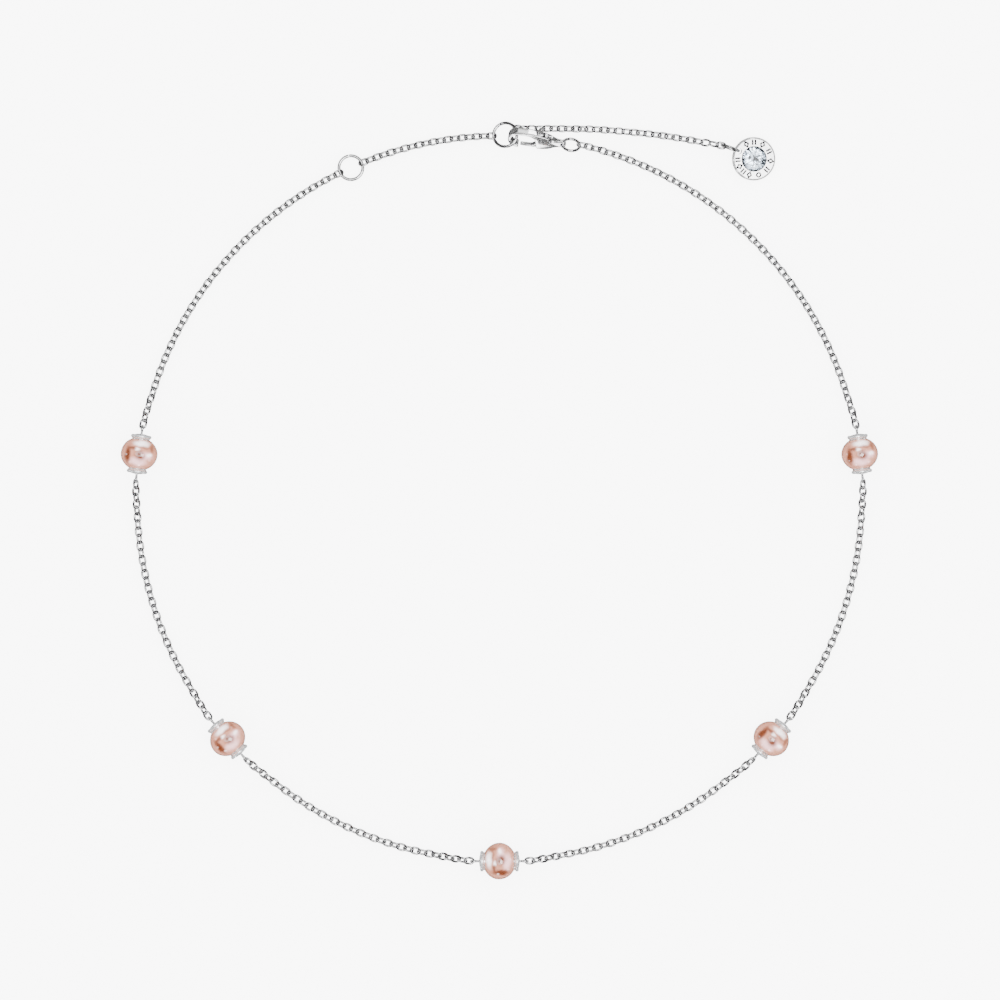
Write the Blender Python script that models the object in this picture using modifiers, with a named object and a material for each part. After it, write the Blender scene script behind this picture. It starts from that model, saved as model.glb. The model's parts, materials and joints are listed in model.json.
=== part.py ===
"""A fine cable-chain necklace, fastened and lying flat: five capped pearls on eye pins, a lobster
clasp on a jump ring, a second jump ring for the shorter length, and an extender with a round tag.

Metres, +Z up. The loop lies around the origin on the plane z = 0, with its front at -Y and its
fastening at +Y. Each run of chain is a plain closed tube as wide as the links lie.
"""

import math

import bmesh
import bpy
from mathutils import Matrix, Vector

MM = 0.001

# Loop. Angles run from the front (-Y) round each side to the fastening (+Y).
LOOP_RADIUS = 68.43 * MM
STATION_STEP = math.radians(48.5)
CHAIN_RADIUS = 0.735 * MM
CHAIN_POINT_SPACING = 3.6 * MM
CHAIN_SAMPLES = 60
TIP_SHARES = (0.05, 0.35)
FOLD_GAP = 0.215 * MM
EYE_GAP = 0.2 * MM
RING_GAP = 0.3 * MM

# Pearl stations
PEARL_RADIUS = 3.5 * MM
PEARL_HALF_LENGTH = 3.15 * MM
PEARL_BORE = 0.4 * MM
CAP_RADIUS = 1.95 * MM
CAP_NECK_RADIUS = 1.76 * MM
CAP_FACE = 3.81 * MM
CAP_BORE = 0.4 * MM
CAP_DOME_RADIUS = 0.9 * MM
CAP_DOME_DROP = 0.03 * MM
CAP_BEAD = 0.33 * MM
CAP_BEAD_DROP = 0.5 * MM
CAP_NECK_DROP = 0.84 * MM
CAP_SEAT_GAP = 0.07 * MM
PIN_RADIUS = 0.23 * MM
EYE_RADIUS = 0.6 * MM
EYE_CENTRE = 4.75 * MM
EYE_OPENING = math.radians(32)
EYE_STEPS = 12
DROP_LENGTH = 8 * MM

# Folds of the loop, where a run is split, as angles from the front
FOLD_SIDE = math.radians(125.8)
FOLD_MID = math.radians(72.75)
FOLD_FRONT = math.radians(31)

# Jump rings: centre, wire centreline radius, wire radius
RING_RADIUS = 2.25 * MM
RING_WIRE = 0.3 * MM
RING_1_ANGLE = math.radians(155.8)
RING_2_CENTRE = Vector((1.1, 68.6, 1.47)) * MM
RING_2_RISE = math.radians(12)
RING_2_DIP = math.radians(6)
CLASP_RING_RADIUS = 1.68 * MM
CLASP_RING_WIRE = 0.24 * MM
RING_STEPS = 24
RING_WIRE_STEPS = 8

# Clasp: u runs from the hook to the eyelet, v across to the arch, n is the normal of its plane
CLASP_HOOK_END = Vector((1.66, 68.43, 1.85)) * MM
CLASP_SLOPE = math.radians(-8.4)
CLASP_ROLL = math.radians(45)
CLASP_THICKNESS = 1.7 * MM
CLASP_EDGE = 0.22 * MM
HOOK_RADIUS = 1.84 * MM
HOOK_INNER_RADIUS = 1.2 * MM
HOOK_LIP_U = 2.15 * MM
EYELET_U = 10.3 * MM
EYELET_RADIUS = 0.74 * MM
EYELET_HOLE = 0.41 * MM
EYELET_THICKNESS = 0.8 * MM
EYELET_SHOULDER_U = 9.2 * MM
PIVOT_U = 6.3 * MM
PIVOT_V = 0.2 * MM
RIVET_RADIUS = 0.3 * MM
RIVET_CLEARANCE = 0.05 * MM
RIVET_LENGTH = 1.8 * MM
LEVER_THICKNESS = 0.8 * MM
LEVER_EDGE = 0.08 * MM
SLOT_WIDTH = 1.05 * MM
SLOT_START_U = 3.7 * MM
SLOT_END_U = 7.35 * MM
POCKET_END_U = 8.35 * MM
POCKET_OVERLAP = 0.05 * MM
POCKET_FLOOR_V = -0.1 * MM
CUTTER_REACH = 3 * MM
SPRING_WIRE = 0.08 * MM
SPRING_RADIUS = 0.24 * MM
SPRING_START_U = 7.42 * MM
SPRING_END_U = 8.2 * MM
SPRING_V = 0.5 * MM
SPRING_TURNS = 3
SPRING_STEPS = 8

CLASP_LENGTH_AXIS = Vector((math.cos(CLASP_SLOPE), math.sin(CLASP_SLOPE), 0))
CLASP_RING_CENTRE = CLASP_HOOK_END + CLASP_LENGTH_AXIS * (EYELET_U + CLASP_RING_RADIUS)
CLASP_RING_ANGLE = math.atan2(CLASP_RING_CENTRE.x, -CLASP_RING_CENTRE.y)

# Extender: centreline of the free end of chain, as it lies
EXTENDER_ROUTE = [(3.2, 69.8), (8.4, 69.8), (14.0, 69.75), (19.0, 69.6), (27.2, 68.9)]
EXTENDER_ROUTE += [(32.6, 68.2), (37.9, 67.3), (42.6, 66.4)]
EXTENDER_START = 1.35 * MM
EXTENDER_END = 38.25 * MM
EXTENDER_FIRST_FOLD = 10.64 * MM
EXTENDER_FOLD_STEP = 9.515 * MM
EXTENDER_PARTS = 4

# Tag
TAG_RING_CENTRE = Vector((43.55, 66.1, 2.02)) * MM
TAG_RING_RADIUS = 1.72 * MM
TAG_RING_WIRE = 0.25 * MM
TAG_HEADING = math.radians(-19)
TAG_TURN = math.radians(-8)
TAG_RADIUS = 4.1 * MM
TAG_THICKNESS = 1.1 * MM
TAG_CHAMFER = 0.12 * MM
TAG_STEPS = 36
TAG_HOLE_OFFSET = 3.25 * MM
TAG_HOLE_RADIUS = 0.55 * MM
TAG_TILT = math.radians(9)
TAG_RING_SETTLE = 0.1 * MM
STONE_RADIUS = 2.31 * MM
STONE_SEAT_GAP = 0.06 * MM
SEAT_DROP = 0.3 * MM
SEAT_OPENING = 1.155 * MM
STONE_STEPS = 16
STONE_GIRDLE_DROP = 0.05 * MM
STONE_TABLE = 1.3 * MM
STONE_CROWN = 0.5 * MM
STONE_GIRDLE = 0.12 * MM
STONE_PAVILION = 0.85 * MM

TURNED_STEPS = 18
UP = Vector((0, 0, 1))


def clear_scene():
    for obj in list(bpy.data.objects):
        bpy.data.objects.remove(obj, do_unlink=True)


def new_collection(name):
    made = bpy.data.collections.new(name)
    bpy.context.scene.collection.children.link(made)
    return made


def new_material(name, color, metallic, roughness):
    made = bpy.data.materials.new(name)
    made.use_nodes = True
    shader = made.node_tree.nodes["Principled BSDF"]
    shader.inputs["Base Color"].default_value = (*color, 1)
    shader.inputs["Metallic"].default_value = metallic
    shader.inputs["Roughness"].default_value = roughness
    return made


def add_object(name, data, matrix, material, collection):
    made = bpy.data.objects.new(name, data)
    made.matrix_world = matrix
    if not data.materials:
        data.materials.append(material)
    collection.objects.link(made)
    return made


def cutter_from(name, mesh, matrix, collection):
    made = bpy.data.objects.new(name, mesh)
    made.matrix_world = matrix
    made.hide_render = True
    made.display_type = "WIRE"
    collection.objects.link(made)
    return made


def cut(target, tool):
    modifier = target.modifiers.new(tool.name, "BOOLEAN")
    modifier.operation = "DIFFERENCE"
    modifier.solver = "EXACT"
    modifier.object = tool


def smooth(mesh, degrees=35):
    mesh.shade_smooth()
    mesh.set_sharp_from_angle(angle=math.radians(degrees))


def turned_mesh(name, profile, closed):
    """A profile of (radius, height) points in the XZ plane, down its outer side."""
    mesh = bpy.data.meshes.new(name)
    edges = [(i, i + 1) for i in range(len(profile) - 1)]
    if closed:
        edges.append((len(profile) - 1, 0))
    mesh.from_pydata([(r, 0, z) for r, z in profile], edges, [])
    return mesh


def turn(obj, steps=TURNED_STEPS):
    screw = obj.modifiers.new("turn", "SCREW")
    screw.axis = "Z"
    screw.angle = 2 * math.pi
    screw.steps = steps
    screw.render_steps = steps
    screw.use_merge_vertices = True
    screw.merge_threshold = 1e-6
    screw.use_smooth_shade = True


def tube_curve(name, points, radii, bevel, cyclic=False):
    curve = bpy.data.curves.new(name, "CURVE")
    curve.dimensions = "3D"
    curve.bevel_depth = bevel
    curve.bevel_resolution = 2
    curve.use_fill_caps = not cyclic
    spline = curve.splines.new("POLY")
    spline.points.add(len(points) - 1)
    for point, place, radius in zip(spline.points, points, radii):
        point.co = (*place, 1)
        point.radius = radius
    spline.use_cyclic_u = cyclic
    return curve


def prism_mesh(name, outline, thickness):
    """A flat outline of (u, v) points, anticlockwise, made into a plate centred on its plane."""
    mesh = bpy.data.meshes.new(name)
    shape = bmesh.new()
    low = [shape.verts.new((u, v, -thickness / 2)) for u, v in outline]
    face = shape.faces.new(low)
    raised = bmesh.ops.extrude_face_region(shape, geom=[face])
    moved = [item for item in raised["geom"] if isinstance(item, bmesh.types.BMVert)]
    bmesh.ops.translate(shape, verts=moved, vec=(0, 0, thickness))
    bmesh.ops.recalc_face_normals(shape, faces=shape.faces)
    shape.to_mesh(mesh)
    shape.free()
    return mesh


def cylinder_mesh(name, radius, length, segments=20):
    mesh = bpy.data.meshes.new(name)
    shape = bmesh.new()
    bmesh.ops.create_cone(
        shape, cap_ends=True, segments=segments, radius1=radius, radius2=radius, depth=length
    )
    shape.to_mesh(mesh)
    shape.free()
    return mesh


def box_mesh(name, low, high):
    mesh = bpy.data.meshes.new(name)
    shape = bmesh.new()
    bmesh.ops.create_cube(shape, size=1)
    low, high = Vector(low), Vector(high)
    size = Matrix.Diagonal((*(high - low), 1))
    bmesh.ops.transform(shape, matrix=Matrix.Translation((low + high) / 2) @ size, verts=shape.verts)
    shape.to_mesh(mesh)
    shape.free()
    return mesh


def arc(centre, radius, start, end, count):
    """count + 1 points from start to end degrees around a centre in a plane."""
    angles = [math.radians(start + (end - start) * i / count) for i in range(count + 1)]
    return [(centre[0] + radius * math.cos(a), centre[1] + radius * math.sin(a)) for a in angles]


def frame_matrix(origin, x_axis, y_axis):
    x_axis = Vector(x_axis).normalized()
    z_axis = x_axis.cross(Vector(y_axis)).normalized()
    y_axis = z_axis.cross(x_axis)
    made = Matrix((x_axis, y_axis, z_axis)).transposed().to_4x4()
    made.translation = origin
    return made


def ease(share):
    share = min(max(share, 0), 1)
    return share * share * (3 - 2 * share)


def loop_point(side, angle):
    """The chain's centreline. side is -1 on the left and +1 on the right."""
    away = min(abs(angle - n * STATION_STEP) for n in range(3)) * LOOP_RADIUS
    rise = 1 - ease((away - EYE_CENTRE) / DROP_LENGTH)
    tangent_reach = math.hypot(LOOP_RADIUS, min(away, EYE_CENTRE)) - LOOP_RADIUS
    radius = LOOP_RADIUS + tangent_reach * rise
    height = CHAIN_RADIUS + (PEARL_RADIUS - CHAIN_RADIUS) * rise
    if side > 0:
        to_ring = (CLASP_RING_ANGLE - angle) * LOOP_RADIUS - CLASP_RING_RADIUS
        lift = CLASP_RING_CENTRE.z - CHAIN_RADIUS
        height += lift * (1 - ease(to_ring / DROP_LENGTH))
    return Vector((side * radius * math.sin(angle), -radius * math.cos(angle), height))


def extender_curve(distance):
    """The extender's centreline: a smooth curve through its route, by distance along it."""
    knots = [Vector((x, y)) * MM for x, y in EXTENDER_ROUTE]
    lengths = [(b - a).length for a, b in zip(knots, knots[1:])]
    to_tag = EXTENDER_END - distance
    span = 0
    while span < len(lengths) - 1 and distance > lengths[span]:
        distance -= lengths[span]
        span += 1
    t = distance / lengths[span]
    before = knots[max(span - 1, 0)]
    start, end = knots[span], knots[span + 1]
    after = knots[min(span + 2, len(knots) - 1)]
    place = 0.5 * (
        2 * start
        + (end - before) * t
        + (2 * before - 5 * start + 4 * end - after) * t**2
        + (3 * start - before - 3 * end + after) * t**3
    )
    lift = (TAG_RING_CENTRE.z - CHAIN_RADIUS) * (1 - ease(to_tag / (DROP_LENGTH / 2)))
    return Vector((place.x, place.y, CHAIN_RADIUS + lift))


def rounded_tube(name, path, start, end, material, collection):
    """A tube along path(parameter), whose ends are rounded over."""
    shares = [i / CHAIN_SAMPLES for i in range(CHAIN_SAMPLES + 1)]
    samples = [path(start + (end - start) * share) for share in shares]
    steps = [(b - a).length for a, b in zip(samples, samples[1:])]
    length = sum(steps)
    tips = [CHAIN_RADIUS * share for share in TIP_SHARES]
    inner = max(2, round((length - 2 * CHAIN_RADIUS) / CHAIN_POINT_SPACING))
    middle = [
        CHAIN_RADIUS + (length - 2 * CHAIN_RADIUS) * i / inner for i in range(inner + 1)
    ]
    distances = tips + middle + [length - tip for tip in reversed(tips)]
    points, radii = [], []
    for distance in distances:
        points.append(along(samples, steps, distance))
        from_end = min(distance, length - distance, CHAIN_RADIUS)
        radii.append(math.sqrt(1 - (1 - from_end / CHAIN_RADIUS) ** 2))
    curve = tube_curve(name, points, radii, CHAIN_RADIUS)
    return add_object(name, curve, Matrix.Identity(4), material, collection)


def along(samples, steps, distance):
    """The place at a distance along straight steps between samples."""
    for start, end, step in zip(samples, samples[1:], steps):
        if distance <= step:
            return start.lerp(end, distance / step)
        distance -= step
    return samples[-1]


def station_matrix(side, number):
    """A station's frame: its origin at the pearl's centre and its Z along the drilled hole."""
    angle = number * STATION_STEP
    centre = Vector((side * math.sin(angle), -math.cos(angle), 0)) * LOOP_RADIUS
    centre.z = PEARL_RADIUS
    axis = Vector((math.cos(angle), side * math.sin(angle), 0))
    return frame_matrix(centre, UP, axis.cross(UP))


def pearl_mesh():
    lean = math.acos(PEARL_BORE / PEARL_RADIUS)
    count = 12
    profile = []
    for i in range(count + 1):
        angle = lean - 2 * lean * i / count
        profile.append((PEARL_RADIUS * math.cos(angle), PEARL_HALF_LENGTH * math.sin(angle)))
    return turned_mesh("pearl", profile, closed=True)


def cap_mesh():
    """A bead cap: a domed face, a rounded rim and a short neck that hugs the pearl."""
    bead_centre = (CAP_RADIUS - CAP_BEAD, CAP_FACE - CAP_BEAD_DROP)
    profile = [(CAP_BORE, CAP_FACE), (CAP_DOME_RADIUS, CAP_FACE - CAP_DOME_DROP)]
    profile += arc(bead_centre, CAP_BEAD, 80, -60, 4)
    profile.append((CAP_NECK_RADIUS, CAP_FACE - CAP_NECK_DROP))
    seat_radius = PEARL_RADIUS + CAP_SEAT_GAP
    seat_half_length = PEARL_HALF_LENGTH + CAP_SEAT_GAP
    for share in (1, 0.6, 0):
        radius = CAP_BORE + (CAP_NECK_RADIUS - CAP_BORE) * share
        profile.append((radius, seat_half_length * math.sqrt(1 - (radius / seat_radius) ** 2)))
    return turned_mesh("cap", profile, closed=True)


def eye_pin_curve():
    """One wire: an eye, the straight shank through the pearl, and the other eye."""
    eye = []
    for i in range(EYE_STEPS + 1):
        angle = math.pi - EYE_OPENING - 2 * (math.pi - EYE_OPENING) * i / EYE_STEPS
        eye.append(Vector((EYE_RADIUS * math.sin(angle), 0, EYE_RADIUS * math.cos(angle))))
    eye.append(Vector((0, 0, -EYE_RADIUS)))
    top = [point + Vector((0, 0, EYE_CENTRE)) for point in eye]
    bottom = [Vector((-point.x, 0, -point.z - EYE_CENTRE)) for point in reversed(eye)]
    points = top + bottom
    return tube_curve("eye_pin", points, [1] * len(points), PIN_RADIUS)


def add_stations(parts, pearl, silver):
    meshes = {"pearl": pearl_mesh(), "cap": cap_mesh(), "pin": eye_pin_curve()}
    places = [(-1, 2), (-1, 1), (1, 0), (1, 1), (1, 2)]
    for index, (side, number) in enumerate(places, 1):
        matrix = station_matrix(side, number)
        bead = add_object(f"pearl_{index}", meshes["pearl"], matrix, pearl, parts)
        turn(bead)
        for letter, flip in (("a", 0), ("b", math.pi)):
            turned_over = matrix @ Matrix.Rotation(flip, 4, "X")
            cap = add_object(f"cap_{index}{letter}", meshes["cap"], turned_over, silver, parts)
            turn(cap)
        add_object(f"eye_pin_{index}", meshes["pin"], matrix, silver, parts)


def add_loop_chain(parts, silver):
    eye = (EYE_CENTRE + EYE_RADIUS + PIN_RADIUS + EYE_GAP) / LOOP_RADIUS
    fold = FOLD_GAP / LOOP_RADIUS
    ring = (RING_RADIUS + RING_WIRE + RING_GAP) / LOOP_RADIUS
    clasp_ring = (CLASP_RING_RADIUS + CLASP_RING_WIRE + RING_GAP) / LOOP_RADIUS
    outer, inner = 2 * STATION_STEP, STATION_STEP
    ends = {-1: RING_1_ANGLE - ring, 1: CLASP_RING_ANGLE - clasp_ring}
    for side, word in ((-1, "left"), (1, "right")):
        spans = {
            f"chain_side_{word}_upper": (FOLD_SIDE + fold, ends[side]),
            f"chain_side_{word}_lower": (outer + eye, FOLD_SIDE - fold),
            f"chain_mid_{word}_upper": (FOLD_MID + fold, outer - eye),
            f"chain_mid_{word}_lower": (inner + eye, FOLD_MID - fold),
            f"chain_front_{word}_upper": (FOLD_FRONT + fold, inner - eye),
            f"chain_front_{word}_lower": (eye, FOLD_FRONT - fold),
        }
        for name, (start, end) in spans.items():
            rounded_tube(name, lambda a, s=side: loop_point(s, a), start, end, silver, parts)
    ring_2_left = math.pi + (RING_2_CENTRE.x / LOOP_RADIUS) - ring
    start = RING_1_ANGLE + ring
    rounded_tube("chain_back", lambda a: loop_point(-1, a), start, ring_2_left, silver, parts)


def add_extender(parts, silver):
    folds = [EXTENDER_FIRST_FOLD + EXTENDER_FOLD_STEP * i for i in range(EXTENDER_PARTS - 1)]
    starts = [EXTENDER_START] + [fold + FOLD_GAP for fold in folds]
    ends = [fold - FOLD_GAP for fold in folds] + [EXTENDER_END]
    for number, (start, end) in enumerate(zip(starts, ends), 1):
        rounded_tube(f"extender_{number}", extender_curve, start, end, silver, parts)


def add_ring(name, centre, x_axis, y_axis, radius, wire, parts, silver):
    bpy.ops.mesh.primitive_torus_add(
        major_segments=RING_STEPS,
        minor_segments=RING_WIRE_STEPS,
        major_radius=radius,
        minor_radius=wire,
    )
    ring = bpy.context.object
    ring.name = ring.data.name = name
    ring.matrix_world = frame_matrix(centre, x_axis, y_axis)
    ring.data.materials.append(silver)
    smooth(ring.data, 60)
    for holder in list(ring.users_collection):
        holder.objects.unlink(ring)
    parts.objects.link(ring)
    return ring


def add_jump_rings(parts, silver):
    centre = Vector((-math.sin(RING_1_ANGLE), -math.cos(RING_1_ANGLE), 0)) * LOOP_RADIUS
    centre.z = CHAIN_RADIUS
    add_ring("jump_ring_1", centre, (1, 0, 0), (0, 1, 0), RING_RADIUS, RING_WIRE, parts, silver)
    rise = (math.cos(RING_2_RISE), 0, math.sin(RING_2_RISE))
    dip = (0, math.cos(RING_2_DIP), -math.sin(RING_2_DIP))
    add_ring("jump_ring_2", RING_2_CENTRE, rise, dip, RING_RADIUS, RING_WIRE, parts, silver)
    length, _, normal = clasp_axes()
    add_ring(
        "clasp_ring", CLASP_RING_CENTRE, length, normal, CLASP_RING_RADIUS, CLASP_RING_WIRE, parts, silver
    )


def clasp_axes():
    """The clasp's length, its width towards the arch, and the normal of its plane."""
    across = UP.cross(CLASP_LENGTH_AXIS)
    width = across * math.cos(CLASP_ROLL) + UP * math.sin(CLASP_ROLL)
    return CLASP_LENGTH_AXIS, width, CLASP_LENGTH_AXIS.cross(width)


def clasp_outline():
    """The body's outline: hook, arch, tail, eyelet, belly, and back along the opening to the lip."""
    hook = (HOOK_RADIUS, 0)
    belly = [(8.6, -1.0), (7.4, -1.3), (6.5, -1.46), (5.75, -1.52)]
    inside = [(5.45, -1.15), (5.35, -0.4), (5.15, 0.35), (4.7, 0.85), (4.1, 1.12)]
    tail = [(8.6, 0.98), (7.6, 1.25), (6.4, 1.5), (5.2, 1.68), (3.8, 1.82)]
    outline = arc(hook, HOOK_RADIUS, 90, 270, 14)
    outline.append((HOOK_LIP_U, -HOOK_RADIUS))
    outline.append((HOOK_LIP_U, -HOOK_INNER_RADIUS))
    outline += arc(hook, HOOK_INNER_RADIUS, 270, 90, 12)
    outline += [(u * MM, v * MM) for u, v in reversed(inside)]
    outline += [(u * MM, v * MM) for u, v in reversed(belly)]
    outline += arc((EYELET_U, 0), EYELET_RADIUS, -105, 105, 10)
    outline += [(u * MM, v * MM) for u, v in tail]
    return outline


def lever_outline():
    """The lever: thumb tab above the pivot, and the tongue that closes the hook below it."""
    tab = [(6.5, 1.5), (6.42, 2.75), (6.2, 2.95), (5.75, 2.9), (5.5, 2.6), (5.45, 1.5)]
    heel = [(5.5, 0.2), (5.2, -0.6), (4.7, -1.05)]
    tongue = [(2.45, -1.22), (2.45, -1.62), (4.9, -1.62), (5.8, -1.35), (6.7, -0.7)]
    return [(u * MM, v * MM) for u, v in tab + heel + tongue + [(7.0, 0.0), (6.9, 0.6)]]


def bevel(obj, width, segments=2, degrees=50):
    modifier = obj.modifiers.new("edges", "BEVEL")
    modifier.width = width
    modifier.segments = segments
    modifier.limit_method = "ANGLE"
    modifier.angle_limit = math.radians(degrees)


def add_clasp(parts, cutters, silver, steel):
    length, width, _ = clasp_axes()
    matrix = frame_matrix(CLASP_HOOK_END, length, width)
    pivot = Matrix.Translation((PIVOT_U, PIVOT_V, 0))

    body_mesh = prism_mesh("clasp_body", clasp_outline(), CLASP_THICKNESS)
    body = add_object("clasp_body", body_mesh, matrix, silver, parts)
    bevel(body, CLASP_EDGE)
    half_slot = SLOT_WIDTH / 2
    low = (SLOT_START_U, -CUTTER_REACH, -half_slot)
    slot = box_mesh("lever_slot", low, (SLOT_END_U, CUTTER_REACH, half_slot))
    cut(body, cutter_from("lever_slot", slot, matrix, cutters))
    low = (SLOT_END_U - POCKET_OVERLAP, POCKET_FLOOR_V, -half_slot)
    pocket = box_mesh("spring_pocket", low, (POCKET_END_U, CUTTER_REACH, half_slot))
    cut(body, cutter_from("spring_pocket", pocket, matrix, cutters))
    bore = cylinder_mesh("rivet_bore", RIVET_RADIUS + RIVET_CLEARANCE, CUTTER_REACH)
    cut(body, cutter_from("rivet_bore", bore, matrix @ pivot, cutters))
    eyelet = Matrix.Translation((EYELET_U, 0, 0))
    hole = cylinder_mesh("eyelet_hole", EYELET_HOLE, CUTTER_REACH)
    cut(body, cutter_from("eyelet_hole", hole, matrix @ eyelet, cutters))
    near = (EYELET_SHOULDER_U, -CUTTER_REACH, EYELET_THICKNESS / 2)
    shave = box_mesh("eyelet_relief", near, (EYELET_U + CUTTER_REACH, CUTTER_REACH, CUTTER_REACH))
    for name, angle in (("eyelet_relief_front", 0), ("eyelet_relief_back", math.pi)):
        turned_over = Matrix.Rotation(angle, 4, "X")
        cut(body, cutter_from(name, shave, matrix @ turned_over, cutters))

    lever_mesh = prism_mesh("clasp_lever", lever_outline(), LEVER_THICKNESS)
    lever_mesh.transform(Matrix.Translation((-PIVOT_U, -PIVOT_V, 0)))
    lever = add_object("clasp_lever", lever_mesh, matrix @ pivot, silver, parts)
    bevel(lever, LEVER_EDGE, segments=1)
    cut(lever, bpy.data.objects["rivet_bore"])

    rivet_mesh = cylinder_mesh("clasp_rivet", RIVET_RADIUS, RIVET_LENGTH)
    add_object("clasp_rivet", rivet_mesh, matrix @ pivot, steel, parts)
    add_spring(parts, steel, matrix)


def add_spring(parts, steel, matrix):
    """A small coil between the lever and the end of its pocket, which pushes the lever shut."""
    count = SPRING_STEPS * SPRING_TURNS
    points = []
    for i in range(count + 1):
        angle = 2 * math.pi * i / SPRING_STEPS
        u = SPRING_START_U + (SPRING_END_U - SPRING_START_U) * i / count
        v = SPRING_V + SPRING_RADIUS * math.cos(angle)
        points.append(Vector((u, v, SPRING_RADIUS * math.sin(angle))))
    curve = tube_curve("lever_spring", points, [1] * len(points), SPRING_WIRE)
    curve.bevel_resolution = 1
    add_object("lever_spring", curve, matrix, steel, parts)


def level_direction(angle):
    """A unit vector in the XY plane, at an angle from X."""
    return Vector((math.cos(angle), math.sin(angle), 0))


def tag_frame():
    """The tag's frame: origin at its centre on the back, X towards the far rim, Z out of its face."""
    heading = level_direction(TAG_HEADING + TAG_TURN)
    across = UP.cross(heading)
    outward = heading * math.cos(TAG_TILT) - UP * math.sin(TAG_TILT)
    hole = TAG_RING_CENTRE + level_direction(TAG_HEADING) * (TAG_RING_RADIUS - TAG_RING_SETTLE)
    centre = hole + outward * TAG_HOLE_OFFSET
    centre.z = TAG_RADIUS * math.sin(TAG_TILT)
    return frame_matrix(centre, outward, across)


def tag_mesh():
    """The disc: chamfered rim, raised edge round the stone, and an open conical seat for it."""
    seat, top = STONE_RADIUS + STONE_SEAT_GAP, TAG_THICKNESS
    profile = [(seat, top), (TAG_RADIUS - TAG_CHAMFER, top), (TAG_RADIUS, top - TAG_CHAMFER)]
    profile += [(TAG_RADIUS, TAG_CHAMFER), (TAG_RADIUS - TAG_CHAMFER, 0)]
    profile += [(SEAT_OPENING, 0), (seat, top - SEAT_DROP - STONE_GIRDLE)]
    return turned_mesh("tag_disc", profile, closed=True)


def stone_mesh():
    """A round cut stone: flat table, sloping crown, thin girdle and pointed pavilion."""
    girdle = TAG_THICKNESS - STONE_GIRDLE_DROP
    profile = [(0, girdle + STONE_CROWN), (STONE_TABLE, girdle + STONE_CROWN)]
    profile += [(STONE_RADIUS, girdle), (STONE_RADIUS, girdle - STONE_GIRDLE)]
    profile.append((0, girdle - STONE_GIRDLE - STONE_PAVILION))
    return turned_mesh("tag_stone", profile, closed=False)


def add_tag(parts, cutters, silver, stone):
    matrix = tag_frame()
    disc = add_object("tag_disc", tag_mesh(), matrix, silver, parts)
    turn(disc, TAG_STEPS)
    hole = cylinder_mesh("tag_hole", TAG_HOLE_RADIUS, 2 * CUTTER_REACH)
    place = matrix @ Matrix.Translation((-TAG_HOLE_OFFSET, 0, 0))
    cut(disc, cutter_from("tag_hole", hole, place, cutters))
    gem = add_object("tag_stone", stone_mesh(), matrix, stone, parts)
    turn(gem, STONE_STEPS)
    heading = level_direction(TAG_HEADING)
    add_ring("tag_ring", TAG_RING_CENTRE, heading, UP, TAG_RING_RADIUS, TAG_RING_WIRE, parts, silver)


def main():
    clear_scene()
    parts = new_collection("pearl_necklace")
    cutters = new_collection("cutters")
    silver = new_material("silver", (0.86, 0.86, 0.87), 1, 0.12)
    steel = new_material("spring_steel", (0.6, 0.6, 0.62), 1, 0.25)
    pearl = new_material("pearl", (0.86, 0.64, 0.58), 0, 0.2)
    stone = new_material("clear_stone", (0.9, 0.94, 0.97), 0, 0.02)
    add_stations(parts, pearl, silver)
    add_loop_chain(parts, silver)
    add_extender(parts, silver)
    add_jump_rings(parts, silver)
    add_clasp(parts, cutters, silver, steel)
    add_tag(parts, cutters, silver, stone)


main()
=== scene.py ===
"""The looks of a fine cable-chain necklace with five capped pearls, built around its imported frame.

Metres, +Z up. The loop lies round the origin, its front at -Y and its fastening at +Y. Each link of
the chain is made here, in place of the frame's plain tubes, and rides on the body of its tube.
"""

import json
import math
import random

import bmesh
import bpy
from mathutils import Matrix, Vector, noise


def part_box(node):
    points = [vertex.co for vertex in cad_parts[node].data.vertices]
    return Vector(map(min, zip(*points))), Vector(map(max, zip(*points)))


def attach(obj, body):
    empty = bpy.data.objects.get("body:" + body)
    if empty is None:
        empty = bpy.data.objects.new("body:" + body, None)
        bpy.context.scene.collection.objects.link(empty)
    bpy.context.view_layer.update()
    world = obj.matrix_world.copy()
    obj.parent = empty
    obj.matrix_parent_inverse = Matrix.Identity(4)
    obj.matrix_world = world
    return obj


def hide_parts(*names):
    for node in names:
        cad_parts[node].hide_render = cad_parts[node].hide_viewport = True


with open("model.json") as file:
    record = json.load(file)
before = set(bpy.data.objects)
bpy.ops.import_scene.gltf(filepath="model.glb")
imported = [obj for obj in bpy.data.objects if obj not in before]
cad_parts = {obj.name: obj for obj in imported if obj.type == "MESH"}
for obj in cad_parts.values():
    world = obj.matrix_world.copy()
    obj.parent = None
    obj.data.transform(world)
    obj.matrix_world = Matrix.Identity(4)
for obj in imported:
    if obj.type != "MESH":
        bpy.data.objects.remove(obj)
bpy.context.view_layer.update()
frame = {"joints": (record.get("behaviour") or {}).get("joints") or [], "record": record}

MM = 0.001
UP = Vector((0, 0, 1))
RECORD = frame["record"]
JOINTS = {joint["name"]: joint for joint in frame["joints"]}
BODY_OF = {n: body for body, members in RECORD["behaviour"]["bodies"].items() for n in members}
SLOT_OF = {part["node"]: part["material_slot"] for part in RECORD["subparts"]}


def joint_place(name):
    return Vector(JOINTS[name]["pos_m"])


def joint_axis(name):
    return Vector(JOINTS[name]["axis"]).normalized()


# Loop, from the frame. Angles run from the front (-Y) round each side to the fastening (+Y).
LOOP_RADIUS = joint_place("pearl_3_spin").to_2d().length
PEARL_HEIGHT = joint_place("pearl_3_spin").z
CHAIN_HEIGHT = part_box("chain_back")[1].z / 2
STATION_STEP = math.atan2(joint_place("pearl_4_spin").x, -joint_place("pearl_4_spin").y)

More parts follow.
